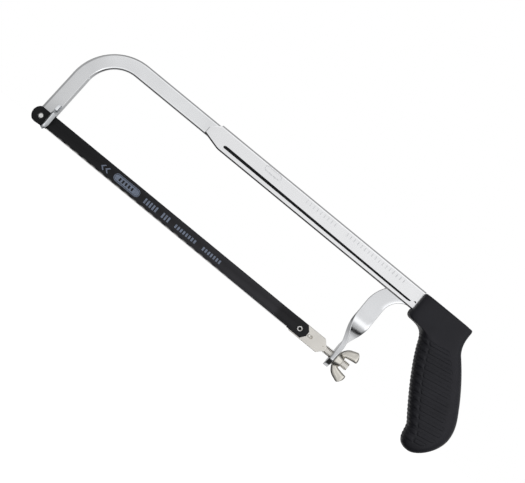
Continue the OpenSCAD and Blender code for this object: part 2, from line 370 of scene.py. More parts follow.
def plated(name, colour, roughness, spread, cloud, grain, stretch, tone=None):
    """Plated steel: clouded roughness and colour, and fine polishing marks along the piece.

    spread is how far the roughness wanders, cloud how much duller the patches are, grain the
    strength of the marks and tone a function that paints shade, darkening the colour from place to
    place.
    """
    s = Shader(name, colour, metallic=1.0, roughness=roughness)
    patches = s.noise(48)
    marks = s.noise(700, 3, stretch)
    rough = s.math("ADD", s.span(patches, roughness - spread, roughness + spread),
                   s.span(marks, -spread / 3, spread / 3))
    s.use(rough, "Roughness")
    dull = tuple(c * (1 - cloud) for c in colour)
    clouded = s.mix(s.span(patches, 0, 1), colour, dull)
    s.use(s.mix(tone(s), (0, 0, 0), clouded) if tone else clouded, "Base Color")
    s.bump(marks, grain, 0.01 * MM)
    s.bump(s.noise(60, 1), grain, 0.12 * MM)
    return s.material


def teeth_highlight(s):
    """Painted highlight on the teeth: strongest where their wave leans away, least at both ends."""
    from_hole = s.math("SUBTRACT", s.axis("X"), place(0, 0, 0).x)
    turn = s.math("MULTIPLY", from_hole, 2 * math.pi / (SET_WAVE * MM))
    wave = s.span(s.math("SINE", turn), 0, 1, 0.6, -0.6)
    glint_mask = s.math("MULTIPLY", s.by_height((-3.9, 0), (-4.9, 1), smooth=True), wave)
    glint_mask = s.math("MULTIPLY", glint_mask, s.by_length((12, 0), (30, 1)))
    return s.math("MULTIPLY", glint_mask, s.by_length((190, 0), (165, 1)))


def make_blade_paint():
    """Black paint with a painted sheen that lightens it towards the rear, and darker paint on the
    dipped end.
    """
    s = Shader("blade_paint", (0.014, 0.014, 0.016), roughness=0.42)
    s.set("Specular IOR Level", 0.16)
    cloud = s.noise(45, 4, (1, 1, 2))
    fine = s.noise(2600, 4)
    # painted sheen lightening the paint towards the rear; the dipped end past u 226 is darker paint
    sheen_and_dip = s.math("MULTIPLY", s.by_length((20, 0), (210, 1), smooth=True),
                   s.by_length((226, 1), (231, 0.25), smooth=True))
    colour = s.mix(sheen_and_dip, (0.0050, 0.0050, 0.0058), (0.022, 0.0215, 0.025))
    painted = s.mix(s.span(cloud, 0, 0.35), colour, (0.010, 0.010, 0.011))
    # the teeth get a painted highlight in light grey over the paint
    s.use(s.mix(teeth_highlight(s), painted, (0.22, 0.215, 0.21)), "Base Color")
    s.use(s.math("ADD", s.span(cloud, 0.36, 0.5), s.span(fine, -0.05, 0.05)), "Roughness")
    s.bump(fine, 0.25, 0.02 * MM)
    return s.material


def make_grip_plastic():
    """Matt black moulding with fine pores."""
    s = Shader("grip_plastic", (0.022, 0.022, 0.026), roughness=0.5)
    s.set("Specular IOR Level", 0.20)
    pores = s.noise(2200, 2)
    cloud = s.noise(70, 3)
    s.use(s.math("ADD", s.span(cloud, 0.42, 0.54), s.span(pores, -0.06, 0.06)), "Roughness")
    s.use(s.mix(s.span(cloud, 0, 1), (0.0095, 0.0095, 0.0125),
                (0.0135, 0.0135, 0.0170)), "Base Color")
    s.bump(pores, 0.35, 0.04 * MM)
    return s.material


def make_print():
    """Blue-grey print, worn thin in specks."""
    ink, worn_ink = (0.126, 0.152, 0.208), (0.06, 0.07, 0.095)
    s = Shader("blade_print", ink, roughness=0.55)
    s.use(s.mix(s.span(s.noise(900, 5), 0, 1, 0.45, 0.75), ink, worn_ink), "Base Color")
    return s.material


def bar_height_shade(s):
    """Painted shade: the bar's plating is darker down the post."""
    return s.by_height((7, 0.68), (20, 0.86), (34, 0.885), (52, 0.885), (68, 1.0))


def strap_foot_shade(s):
    """Painted shade: the strap's plating is darker at its foot."""
    return s.by_height((4, 0.78), (14, 1.0))


def finger_flank_shade(s):
    """Painted shade: the finger's torn front flank is darker below its kink."""
    return s.math("MAXIMUM", s.by_length((6.7, 0.36), (7.2, 1.0)), s.by_height((7.6, 0), (8.8, 1)))


chrome_front = plated("chrome_front", (0.972, 0.983, 1.0), 0.17, 0.04, 0.08, 0.16, ALONG, bar_height_shade)
chrome_tube = plated("chrome_tube", (0.975, 0.98, 0.995), 0.20, 0.03, 0.04, 0.08, ALONG)
chrome_post = plated("chrome_post", (0.85, 0.86, 0.88), 0.20, 0.04, 0.09, 0.18, UP, strap_foot_shade)
sheared = plated("sheared_chrome", (0.92, 0.94, 0.97), 0.19, 0.06, 0.35, 0.8, UP, finger_flank_shade)
nickel = plated("nickel", (0.80, 0.775, 0.73), 0.30, 0.06, 0.12, 0.22, ALONG)
nickel_cast = plated("nickel_cast", (0.72, 0.695, 0.64), 0.30, 0.07, 0.22, 0.6, EVEN)
# near black: painted shade for the shadow in the tube's seam and in the rolled pin's hollow
shade_black = plated("shade_black", (0.022, 0.023, 0.024), 0.55, 0.06, 0.4, 0.3, ALONG)
bright_pin = plated("bright_pin", (0.86, 0.86, 0.85), 0.22, 0.06, 0.10, 0.2, EVEN)
plain_steel = plated("plain_steel", (0.55, 0.55, 0.57), 0.35, 0.08, 0.15, 0.3, EVEN)
blade_paint = make_blade_paint()
grip_plastic = make_grip_plastic()
blade_print = make_print()

# -------- front frame


def bar_edges():
    """Outer and inner edge points of the bar, from its tail over the bend to the post's foot."""
    out_r, in_r = 41.2, 25.1
    post_out, post_in = -2.0, 11.1
    foot_out, foot_in, foot_v = -4.4, 9.0, -5.3
    out_c = (post_out + out_r, BAR_V1 - out_r)
    in_c = (post_in + in_r, BAR_V1 - BAR_H - in_r)
    edges = [((u, BAR_V1), (u, BAR_V1 - BAR_H)) for u in (BAR_U1, SPAN, 150, 100, 60)]
    edges += list(zip(arc(*out_c, out_r, 90, 180, 40), arc(*in_c, in_r, 90, 180, 40)))
    for k in range(1, 9):
        t = k / 8
        v_out = out_c[1] + (foot_v - out_c[1]) * t
        v_in = in_c[1] + (foot_v - in_c[1]) * t
        edges.append(((post_out + (foot_out - post_out) * t, v_out),
                      (post_in + (foot_in - post_in) * t, v_in)))
    return edges


def make_front_bar():
    """The bent bar: spine, bend and leaning post, with the window that the finger left."""
    rings = []
    for a, b in bar_edges():
        soft = float(smoothstep(66 - b[1], 0, 22))      # 0 in the spine, 1 down the post
        rings.append(rounded_ring((a[0], 0, a[1]), (b[0], 0, b[1]), (0, 1, 0), BAR_Y1,
                                  2.1 - 0.6 * soft, 8, 1 + 0.25 * soft, None, 0.85 * soft))
    bar = loft("front_bar", rings)
    window = [(7.3, -3.0), (9.0, -3.0), (8.8, -BAR_Y1), (7.4, -BAR_Y1 + 1.9)]
    boolean(bar, loft("window", [[(u, y, v) for u, y in window] for v in (8.4, 15.2)]))
    boolean(bar, bore("pin_hole", PIN_R, -8, 8, (0, 0, 0)))
    nick = [(-0.5, 0.01), (-0.5, 0.85), (2.2, 0.7), (2.2, 0.01)]
    boolean(bar, lathe("nick", nick, (10.1, -BAR_Y1, 44.2), "y", 24))
    scratch = [(-1.0, 10.25), (4.2, 10.2), (4.2, 10.38), (-1.0, 10.43)]
    boolean(bar, prism("scratch", scratch, -9, -BAR_Y1 + 0.06))
    return bar


def make_finger():
    """Lanced out of the post's face: bends out, twists and runs down before the blade."""
    # v, middle u, middle y, width, thickness, turn about the upright (degrees)
    stations = [(14.8, 6.1, -1.75, 2.5, 2.0, 0), (14.0, 6.1, -2.05, 2.5, 2.0, 0),
                (12.6, 6.1, -2.5, 2.5, 2.0, 0), (11.2, 6.1, -2.95, 2.5, 2.0, 0),
                (9.6, 6.2, -3.5, 2.5, 2.0, -2), (8.4, 6.9, -6.0, 2.8, 2.6, -24),
                (7.4, 7.5, -7.3, 3.6, 3.0, -36), (4.0, 7.7, -7.7, 3.7, 3.1, -38),
                (-2.0, 7.6, -7.7, 3.7, 3.1, -36), (-4.4, 7.1, -7.6, 3.3, 3.0, -32),
                (-5.7, 6.6, -7.45, 2.8, 2.8, -28), (-6.35, 6.3, -7.4, 2.5, 2.7, -26)]
    t = np.linspace(0, len(stations) - 1, 120)
    v, u, y, wide, thick, turn = (relaxed(np.interp(t, np.arange(len(stations)), column), 4)
                                  for column in np.array(stations, float).T)
    rings = []
    for i in range(len(t)):
        j, k = max(i - 1, 0), min(i + 1, len(t) - 1)
        down = Vector((u[k] - u[j], y[k] - y[j], v[k] - v[j])).normalized()
        a = math.radians(turn[i])
        across = Vector((math.cos(a), -math.sin(a), 0))
        across = (across - down * across.dot(down)).normalized()
        middle = Vector((u[i], y[i], v[i]))
        rings.append(rounded_ring(middle - across * wide[i] / 2, middle + across * wide[i] / 2,
                                  across.cross(down), thick[i] / 2, 0.3, 4))
    return loft("blade_finger", rings)


def make_front_pin():
    """Headless pin through the post's foot, with a dished end and a punch mark."""
    profile = [(0.12, 0.01), (0.06, 0.9), (0.02, 1.3), (0.12, 1.75), (0.45, PIN_R - 0.02),
               (5.4, PIN_R - 0.02), (5.8, 1.6), (5.8, 0.01)]
    pin = lathe("front_pin", profile, (0, -BAR_Y1 + 0.02, 0), "y")
    mark = [(-0.5, 0.01), (-0.5, 0.85), (0.25, 0.45), (0.5, 0.01)]
    return boolean(pin, lathe("pin_mark", mark, (0.1, -BAR_Y1, -1.0), "y", 20))


dress(shade(make_front_bar()), "front_frame", "chrome_front", chrome_front, "front_frame")
dress(shade(make_finger(), 60, False), "front_frame", "chrome_front", sheared, "front_frame")
dress(shade(make_front_pin(), 50, False), "front_frame", "pin_steel", bright_pin, "front_blade_pin")

# -------- rear frame tube

GRIP_U0 = SPAN + 55.5
CUT_V = 78.8            # inside the grip the tube's top is cut down to here
SLOT_U0, SLOT_U1 = 120.0, SPAN + 51.5
GROOVE = ((-0.7, -0.3), (0.7, -0.3), (0.0, 0.28))       # section of a pressed line


def wedge(a, b, out, width, depth):
    """A cutter that slopes the tube's near face in towards the edge a to b, which faces out."""
    rings = []
    for u, v in (a, b):
        corners = ((-1.3 * width, -0.3 * depth), (0.6 * width, 1.6 * depth),
                   (0.6 * width, -0.3 * depth))
        rings.append([(u + out[0] * s, -TUBE_Y1 + y, v + out[1] * s) for s, y in corners])
    return loft("wedge", rings)


def spokes(outline):
    """Each (u, v) point of a closed outline with the unit direction square to its path."""
    found = []
    for k, (u, v) in enumerate(outline):
        (u0, v0), (u1, v1) = outline[k - 1], outline[(k + 1) % len(outline)]
        long = math.hypot(u1 - u0, v1 - v0)
        found.append((u, v, (v1 - v0) / long, (u0 - u1) / long))
    return found


def tube_section(half_y, half_v, r_top, r_low, steps, lift=0.0, flat=0.0):
    """A rounded box across the tube; lift raises its underside, flat chamfers those corners."""
    middle = (TUBE_V0 + TUBE_V1) / 2
    ring = []
    for corner, (sy, sv) in enumerate(((1, 1), (-1, 1), (-1, -1), (1, -1))):
        r = r_top if sv > 0 else r_low
        for k in range(steps + 1):
            c, d = corner_point(corner, k / steps, flat if sv < 0 else 0)
            ring.append((sy * (half_y - r) + r * c,
                         middle + sv * (half_v - r) + r * d + lift * (sv < 0)))
    return ring


def tube_run(name, sections):
    """A skin through (u, section) pairs."""
    return loft(name, [[(u, y, v) for y, v in ring] for u, ring in sections])


def make_tube_shell():
    """The folded sheet without its openings; its underside rises towards the mouth."""
    half_v = (TUBE_V1 - TUBE_V0) / 2
    underside = [(0, 3.7), (0.8, 3.55), (13.4, 0.35), (15.0, 0.08), (16.5, 0), (60, 0), (130, 0),
                 (TUBE_U1 - TUBE_U0, 0)]
    skin = [(TUBE_U0 + du, tube_section(TUBE_Y1, half_v, 2.2, 1.05 + 0.1 * min(lift, 2), 9, lift, 0.75))
            for du, lift in underside]
    hollow = tube_section(TUBE_Y1 - SHEET_T, half_v - SHEET_T, 0.5, 0.5, 4)
    return boolean(tube_run("tube_shell", skin),
                   tube_run("hollow", [(TUBE_U0 - 5, hollow), (TUBE_U1 + 5, hollow)]))


def cut_mouth(tube):
    """Cuts back the mouth's top and slopes the near face in along the cut."""
    u0, v0, v1 = TUBE_U0, TUBE_V0, TUBE_V1
    top = [(u0 - 2, v1 + 2), (u0 - 2, v1 - 8), (u0 - 0.05, v1 - 7.6), (u0 + 0.8, v1 - 6.4),
           (u0 + 7.2, v1 - 0.9), (u0 + 8.4, v1 + 2)]
    boolean(tube, prism("mouth_top", top, -9, 9))
    boolean(tube, wedge((u0, v0 + 5.0), (u0, v1 - 7.3), (-1, 0), 0.6, 0.7))
    boolean(tube, wedge((u0 + 0.2, v1 - 6.92), (u0 + 8.2, v1 - 0.04), (-0.652, 0.758), 1.0, 0.34))


def cut_openings(tube):
    """Cuts the near side's seam, the slit for the strap's tang and the step inside the grip."""
    seam = [(SLOT_U0 + 1.9, 70.2), (SLOT_U1 - 0.6, 68.7), (SLOT_U1 - 1.6, 67.5),
            (SLOT_U1 - 4, 67.2), (SLOT_U0 + 0.6, 67.8), (SLOT_U0 - 0.2, 68.6), (SLOT_U0 + 0.3, 69.7)]
    boolean(tube, prism("seam_slot", seam, -9, -1))
    slit_u, slit_y = SPAN + 26, POST_HALF_T + 0.1
    slit = [(slit_u, TUBE_V0 - 1), (TUBE_U1 + 1, TUBE_V0 - 1), (TUBE_U1 + 1, TUBE_V0 + 1.3),
            (slit_u, TUBE_V0 + 1.3)]
    boolean(tube, prism("floor_cut", slit, -slit_y, slit_y))
    inside_grip = [(GRIP_U0 + 0.5, CUT_V), (TUBE_U1 + 1, CUT_V), (TUBE_U1 + 1, TUBE_V1 + 2),
                   (GRIP_U0 + 0.5, TUBE_V1 + 2)]
    boolean(tube, prism("inside_grip", inside_grip, -9, 9))


def press_marks(tube):
    """A plain oval and a row of plain ticks pressed into the near face."""
    y = -TUBE_Y1
    rim = arc(166.6, 76.8, 2.0, -90, 90, 12) + arc(155.8, 76.8, 2.0, 90, 270, 12)
    boolean(tube, wreath("oval", [[(u + d * side, y + deep, v + d * tall) for d, deep in GROOVE]
                                  for u, v, side, tall in spokes(rim)]))
    ticks = [loft("tick", [[(u + d, y + deep, v) for d, deep in GROOVE] for v in (74.9, 77.8)])
             for u in (*np.arange(194, 222, 3.4), *np.arange(233, 289, 3.4))]
    boolean(tube, join(ticks))


def make_tube():
    """Sheet folded round the bar, with its seam open on the near side."""
    tube = make_tube_shell()
    cut_mouth(tube)
    cut_openings(tube)
    bevel(tube, 0.42, 4, 40)
    press_marks(tube)
    nick = [(SLOT_U1 + 0.9, 69.5), (SLOT_U1 + 2.2, 70.5), (SLOT_U1 + 3.3, 69.7), (SLOT_U1 + 3.3, 69.2)]
    return boolean(tube, prism("nick", nick, -9, -1))


def make_seam_shade():
    """The sheet's folded-under lip behind the seam, near black as painted shade for the slot's shadow.
    """
    lip = [(SLOT_U0 - 0.6, 67.4), (SLOT_U0 - 0.6, 70.9), (SLOT_U1, 70.9), (SLOT_U1 + 3.6, 70.9),
           (SLOT_U1 + 3.6, 66.9)]
    inner_y = -TUBE_Y1 + SHEET_T
    return prism("seam_shade_sheet", lip, inner_y - 0.22, inner_y - 0.02)


dress(shade(make_tube(), 30), "rear_frame", "chrome_rear", chrome_tube, "rear_frame_tube")
dress(make_seam_shade(), "rear_frame", "chrome_rear", shade_black)

# -------- rear post

TWIST_TOP, TWIST_END = 40.0, 8.5
FOOT_TOP, FOOT_V = -1.5, -9.65     # the foot narrows between these heights


def foot_lines():
    """Edge lines (a, b, normal) of the lopsided round foot, from its tip up."""
    near = [(FOOT_V, 4.2), (-9.1, 2.2), (-8.3, -0.2), (-7.4, -2.4), (-6.6, -3.6), (-3.4, -6.5),
            (-2.6, -7.0), (FOOT_TOP, -POST_HALF_W)]
    far = [(FOOT_V, 5.0), (-9.3, 5.9), (-8.6, 6.5), (-6.5, 7.1), (-3.0, 7.2), (FOOT_TOP, POST_HALF_W)]
    lines = []
    for t in np.linspace(0, 1, 34):
        v = FOOT_V + (FOOT_TOP - FOOT_V) * t ** 1.6
        a, b = (np.interp(v, *zip(*line)) for line in (near, far))
        lines.append(((POST_U, a, v), (POST_U, b, v), (-1, 0, 0)))
    return lines


def twist_lines():
    """Edge lines of the upright strap: straight across, then a quarter turn to lengthways."""
    lines = [((POST_U, -POST_HALF_W, v), (POST_U, POST_HALF_W, v), (-1, 0, 0))
             for v in np.linspace(0, TWIST_END - 1, 7)]
    for v in np.linspace(TWIST_END, TWIST_TOP, 61):
        t = (v - TWIST_END) / (TWIST_TOP - TWIST_END)
        a = math.pi / 2 * (1 - t * t * (3 - 2 * t))
        across = Vector((math.cos(a), math.sin(a), 0)) * POST_HALF_W
        centre = Vector((POST_U, 0, v))
        lines.append((centre - across, centre + across, (-math.sin(a), math.cos(a), 0)))
    return lines


def bend_lines():
    """Edge lines of the strap's edgewise bend and of its tang in the tube."""
    outer = arc(POST_U - POST_HALF_W + 28.5, 47.5, 28.5, 180, 90, 30)
    inner = arc(POST_U + POST_HALF_W + 15, 49.5, 15, 180, 90, 30)
    lines = [((a[0], 0, a[1]), (b[0], 0, b[1]), (0, 1, 0)) for a, b in zip(outer, inner)]
    lines.append(((SPAN + 92, 0, 76), (SPAN + 92, 0, 64.5), (0, 1, 0)))
    return lines


def make_post():
    """Strap: tang in the tube, edgewise bend, quarter twist, round foot with a flatted hole."""
    rings = []
    for a, b, normal in foot_lines() + twist_lines() + bend_lines():
        radius = 1.5 - 1.0 * float(smoothstep(b[2], 0, 6))
        slope = 0.02 + 0.95 * float(smoothstep(b[2], 44, 54))
        rings.append(rounded_ring(a, b, normal, POST_HALF_T, radius, 6, 1.0, (3.8, slope)))
    post = loft("post_strap", rings)
    hole_r, flat = 3.3, 2.62
    reach = math.degrees(math.asin(flat / hole_r))
    outline = arc(0, 0, hole_r, -reach, reach, 12) + arc(0, 0, hole_r, 180 - reach, 180 + reach, 12)
    return boolean(post, loft("post_hole", [[(u, y, v) for v, y in outline]
                                            for u in (POST_U - 5, POST_U + 5)]))


dress(shade(make_post(), 45), "rear_frame", "chrome_rear", chrome_post, "rear_post")

# -------- draw bolt and wing nut

PITCH = 1.27
FLAT_Y = 2.5            # from the axis to the plate's near face and to the shank's flats
PLATE_V = 6.35          # half the plate's height


def make_plate():
    """The pressed plate that carries the blade, with its neck, pin seat and tool marks."""
    u0, u1, neck, r = SPAN - 6.6, SPAN + 20, SPAN + 23.4, 1.4
    near = -FLAT_Y
    outline = [(u1, -PLATE_V), (neck, -2.55), (neck + 1.2, -2.3), (neck + 1.2, 2.3), (neck, 2.55),
               (u1, PLATE_V)]
    outline += arc(u0 + r, PLATE_V - r, r, 180, 90, 8)[::-1]
    outline += arc(u0 + r, -PLATE_V + r, r, 180, 270, 8)
    plate = prism("bolt_plate", outline, near, 0)
    bevel(plate, 0.45, 4, 30)
    dimple = [(-0.4, 0.01), (-0.4, 1.7), (0.0, 1.5), (0.6, 1.1), (1.0, 0.5), (1.05, 0.01)]
    boolean(plate, lathe("dimple", dimple, (SPAN + 10.4, near, 0.2), "y", 40))
    boolean(plate, bore("pin_seat", PIN_R, -3, 0, (SPAN, -0.6, 0)))
    line = [(SPAN + 12.6, 0.0), (SPAN + 20.2, 0.0), (SPAN + 20.2, 0.14), (SPAN + 12.6, 0.14)]
    boolean(plate, prism("scribe", line, -5, near + 0.05))
    punch = [(-0.3, 0.01), (-0.3, 0.75), (0.45, 0.01)]
    boolean(plate, lathe("punch", punch, (SPAN + 21.8, near, 0.6), "y", 16))
    fold = [(SPAN + 19.2, 3.3), (SPAN + 21.8, 0.9), (SPAN + 21.5, 0.6), (SPAN + 19.0, 3.1)]
    boolean(plate, prism("fold", fold, -5, near + 0.12))
    boss = [(-0.50, 0.01), (-0.46, 0.55), (-0.25, 1.05), (0.1, 1.4), (0.9, 1.5), (0.9, 0.01)]
    return join([plate, lathe("dimple_boss", boss, (SPAN + 8.7, near + 0.05, 0.2), "y", 32)])


def make_shank():
    """Threaded rod with two flats: a helical ridge cut off at the flats."""
    steps, per_turn, depth = 72, 14, 0.62
    u0, u1 = SPAN + 23.2, SHANK_U1
    neck_u = SPAN + 25      # before this the rod lies a little inside the plate's neck
    count = int((u1 - u0) / PITCH * per_turn)
    rings = []
    for i in range(count + 1):
        u = u0 + (u1 - u0) * i / count
        ends = min(1.0, (u - u0) / 1.5 + 0.15, (u1 - u) / 0.9 + 0.25)
        flat = FLAT_Y - (0.06 if u < neck_u else 0)
        ring = []
        for j in range(steps):
            t = 2 * math.pi * j / steps
            phase = (u / PITCH - j / steps) % 1
            ridge = min(1.0, 1.25 * (1 - abs(2 * phase - 1)))
            r = SHANK_R - depth + depth * min(ridge, ends)
            ring.append((u, max(-flat, min(flat, r * math.cos(t))), r * math.sin(t)))
        rings.append(ring)
    return loft("bolt_shank", rings)


def make_rolled_pin():
    """A strip of sheet rolled into a pin: its section is a C, open towards the handle."""
    outer_r, inner_r, gap = PIN_R - 0.03, 1.15, 26      # gap in degrees each side
    rings = []
    for y, shrink in ((BLADE_Y0 - 0.95, 0.18), (BLADE_Y0 - 0.75, 0.05), (BLADE_Y0 - 0.5, 0),
                      (-0.65, 0)):
        outer = arc(SPAN, 0, outer_r - shrink, gap, 360 - gap, 60)
        inner = arc(SPAN, 0, inner_r + shrink, 360 - gap * 1.5, gap * 1.5, 60)
        rings.append([(u, y, v) for u, v in outer + inner])
    return loft("rolled_pin", rings)


def make_pin_shade():
    """A near-black disc at the bottom of the rolled pin's hollow: painted shade for the shadow in it.
    """
    disc = [(0.0, 0.01), (0.0, 1.3), (0.5, 1.3), (0.5, 0.01)]
    return lathe("pin_shade_disc", disc, (SPAN, BLADE_Y0 + 0.1, 0), "y", 32)


dress(shade(make_plate(), 35), "draw_bolt", "nickel", nickel, "draw_bolt")
dress(shade(make_shank(), 50, False), "draw_bolt", "nickel", nickel, "draw_bolt")
dress(shade(make_rolled_pin(), 40, False), "draw_bolt", "pin_steel", bright_pin, "rear_blade_pin")
dress(make_pin_shade(), "draw_bolt", "pin_steel", shade_black)


def make_wing(side, tip):
    """One wing, in sections from hub to tip that are thickest midway between its two edges."""
    inner = [(0.7, 3.7), (0.6, 5.7), (1.8, 8.0), (3.6, 10.2), (5.6, 11.6), (7.8, tip - 1.2),
             (9.6, tip - 0.5), (10.8, tip - 0.12), (11.6, tip)]
    outer = [(4.9, 3.7), (5.3, 4.3), (6.6, 4.7), (9.6, 5.3), (12.6, 5.8), (15.0, 6.1),
             (15.1, 8.4), (14.6, tip - 3.4), (13.0, tip - 1.0)]
    t = np.linspace(0, 1, 40)
    at = np.linspace(0, 1, len(inner))
    (in_u, in_v), (out_u, out_v) = ([relaxed(np.interp(t, at, column), 3) for column in zip(*line)]
                                    for line in (inner, outer))
    edge = 0.35             # half the thickness along both edges
    rings = []
    for k in range(len(t)):
        thick = 1.9 * math.sqrt(max(0.08, 1 - max(0.0, t[k] - 0.86) ** 2 / 0.02))
        ring = []
        for face in (-1, 1):
            for w in np.linspace(-face, face, 15):
                half = edge + (thick - edge) * (1 - abs(w) ** 2.2) ** 0.8
                ring.append((NUT_U0 + in_u[k] * (1 - w) / 2 + out_u[k] * (1 + w) / 2,
                             face * half,
                             side * (in_v[k] * (1 - w) / 2 + out_v[k] * (1 + w) / 2)))
        rings.append(ring)
    return loft("wing", rings)


def make_wing_nut():
    """Cast wing nut: tapered hub and two flared wings, melted together."""
    hub = [(0.1, 3.3), (0.0, 5.3), (0.3, 5.8), (1.2, 5.8), (4.8, 4.7), (5.7, 4.4), (5.95, 4.0),
           (5.95, 3.3)]
    tip = in_mm(*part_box("wing_nut")[1])[2] - 0.15
    nut = lathe("wing_nut_cast", hub, (NUT_U0, 0, 0), "u", 96)
    nut = join([nut, make_wing(1, tip), make_wing(-1, tip)])
    remesh = nut.modifiers.new("melt", "REMESH")
    remesh.mode, remesh.voxel_size = "VOXEL", 0.16 * MM
    soft = nut.modifiers.new("soften", "SMOOTH")
    soft.factor, soft.iterations = 0.5, 4
    return bake(nut)


wing_nut = make_wing_nut()
wing_nut.data.shade_smooth()
dress(wing_nut, "wing_nut", "nickel", nickel_cast, "wing_nut")

# -------- blade

TOOTH_PITCH = 1.058
BLADE_TOP, BLADE_ROOT, BLADE_LOW = 6.2, -4.8, -5.5
SET_TOP = -3.2          # the wavy set starts here
TEETH_U0, TEETH_U1 = 9.0, SPAN - 8.4


def set_wave(u):
    """How far the toothed edge leans out at u."""
    return 0.34 * float(smoothstep(u, 14.8, 18)) * math.sin(2 * math.pi * u / SET_WAVE)


def make_strip():
    """The blade's flat body with both end holes, cut away where the set strip goes."""
    strip_u0, strip_u1 = TEETH_U0 + 0.3, TEETH_U1 - 0.5
    outline = arc(0, 0, NOSE_R, 240, 118, 30)
    outline += [(SPAN + 3.6, BLADE_TOP), (SPAN + 7, 2.4), (SPAN + 7, -1.4), (SPAN + 4, BLADE_LOW),
                (strip_u1, BLADE_LOW), (strip_u1, SET_TOP), (strip_u0, SET_TOP),
                (strip_u0, BLADE_LOW), (5.5, -5.9), (-1.0, -6.5)]
    body = prism("blade_strip", outline, BLADE_Y0, BLADE_Y1)
    for u in (0, SPAN):
        boolean(body, bore("hole", PIN_R + 0.06, -6, 3, (u, 0, 0)))
    return bevel(body, 0.06, 2, 30)


def make_set_strip():
    """The low edge above the teeth, which leans out further the lower it is."""
    rings = []
    for u in np.arange(TEETH_U0, TEETH_U1 + 0.1, 0.5):
        depth = np.linspace(0, 1, 7)
        lean = set_wave(u) * depth * depth
        v = SET_TOP + 0.05 + (BLADE_ROOT - SET_TOP - 0.05) * depth
        ring = [(u, BLADE_Y0 + y, at) for y, at in zip(lean, v)]
        ring += [(u, BLADE_Y1 + y, at) for y, at in zip(lean[::-1], v[::-1])]
        rings.append(ring)
    return loft("set_strip", rings)


def make_teeth():
    """A row of forward-pointing teeth that leans with the set."""
    # along the tooth, height, part of the lean
    profile = [(0, BLADE_ROOT + 0.05, 1.0), (TOOTH_PITCH, BLADE_ROOT + 0.05, 1.0),
               (TOOTH_PITCH * 0.62, BLADE_ROOT - 0.2, 1.1),
               (TOOTH_PITCH * 0.24, BLADE_LOW + 0.03, 1.3), (TOOTH_PITCH * 0.16, BLADE_LOW, 1.3)]
    n = len(profile)
    points, faces = [], []
    for k in range(int((TEETH_U1 - TEETH_U0) / TOOTH_PITCH)):
        u = TEETH_U0 + k * TOOTH_PITCH
        sway = set_wave(u)
        base = len(points)
        for y in (BLADE_Y0, BLADE_Y1):
            points += [(u + du, y + sway * lean, v) for du, v, lean in profile]
        faces += [tuple(base + j for j in range(n)), tuple(base + n + j for j in range(n))]
        faces += [(base + j, base + (j + 1) % n, base + n + (j + 1) % n, base + n + j)
                  for j in range(n)]
    return build("teeth", points, faces, weld=False)


def make_marks():
    """Plain printed marks: two direction chevrons, a blank pill and a row of bars."""
    y = BLADE_Y0
    face, into = y - 0.012, y + 0.05
    outlines = [[(u, 0.2), (u + 2.4, 2.4), (u + 3.6, 2.4), (u + 1.5, 0.2), (u + 3.6, -2.0),
                 (u + 2.4, -2.0)] for u in (58.5, 62.5)]
    for start, end, low, high in ((100, 110.5, -1.8, 2.4), (117, 123, -1.8, 2.4),
                                  (129.5, 149.5, -1.3, 1.6), (156, 174, -1.3, 1.6)):
        outlines += [[(u, low), (u + 1.5, low), (u + 1.5, high), (u, high)]
                     for u in np.arange(start, end, 2.6)]
    marks = [prism("mark", outline, face, into) for outline in outlines]
    rim, inside, panel = (prism("pill", arc(91.6, 0.6, r, 90, -90, 16) + arc(73.8, 0.6, r, 270, 90, 16),
                                front, into) for r, front in ((3.1, face), (2.6, y - 1), (2.25, face)))
    gaps = [prism("gap", [(u, -0.7), (u + 1.5, -0.7), (u + 1.5, 1.9), (u, 1.9)], y - 1, y + 1)
            for u in np.arange(75.4, 89.9, 2.9)]
    return join([*marks, boolean(rim, inside), boolean(panel, join(gaps))])


blade = join([make_strip(), make_set_strip(), make_teeth()])
dress(shade(blade, 25, False), "blade", "blade_black", blade_paint, "blade")
dress(make_marks(), "blade", "blade_black", blade_print)

# -------- grip

GRIP_TOP = 80.3
CROWN_V = 79.0          # the crown's rings take over from here up
BACK_U = SPAN + 137.98  # just inside the CAD box
PER = 9                 # sections to each count below
FINGER_EDGE = [[(55.5, GRIP_TOP), (55.5, 76), (55.5, 70), (55.5, 66)],
               [(55.5, 66), (54.6, 63.5), (54.2, 58.6), (58.5, 58.2)],
               [(58.5, 58.2), (69, 58.2), (72, 55.5), (75, 48)],
               [(75, 48), (81, 33), (97, 9.5), (107, -3.5)],
               [(107, -3.5), (109.5, -8), (107.5, -19.3), (118, -19.3)]]
BACK_EDGE = [[(98, GRIP_TOP), (100, GRIP_TOP), (100.5, 79.5), (100.5, 77)],
             [(100.5, 77), (100.3, 70), (101.5, 65), (105, 60.5)],
             [(105, 60.5), (113, 52), (122, 41.5), (130, 28)],
             [(130, 28), (135, 20), (138, 14), (138, 6)],
             [(138, 6), (138, -5), (127, -19.3), (118, -19.3)]]
FINGER_COUNTS, BACK_COUNTS = (8, 5, 9, 20, 8), (3, 8, 17, 9, 13)
RIB_PITCH, RIB_SLOPE = 5.7, math.radians(11)
RIB_LOW = -79.7         # the lowest rib, measured square to the ribs
HEEL_V = in_mm(*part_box("grip")[0])[2] + 0.01


def edge_line(curves, counts):
    """Points of a chain of cubic curves, PER times as dense as counts says."""
    line = []
    for p, n in zip(np.array(curves, float), counts):
        t = np.arange(n * PER)[:, None] / (n * PER)
        line.append((1 - t) ** 3 * p[0] + 3 * t * (1 - t) ** 2 * p[1]
                    + 3 * t * t * (1 - t) * p[2] + t ** 3 * p[3])
    return np.vstack(line) + (SPAN, 0)


def evened(ring):
    """The same closed ring with its points evenly spaced."""
    closed = np.vstack([ring, ring[:1]])
    steps = np.linalg.norm(np.diff(closed, axis=0), axis=1)
    at = np.concatenate([[0], np.cumsum(steps)])
    want = np.linspace(0, at[-1], len(ring), endpoint=False)
    return np.stack([np.interp(want, at, closed[:, k]) for k in range(3)], 1)


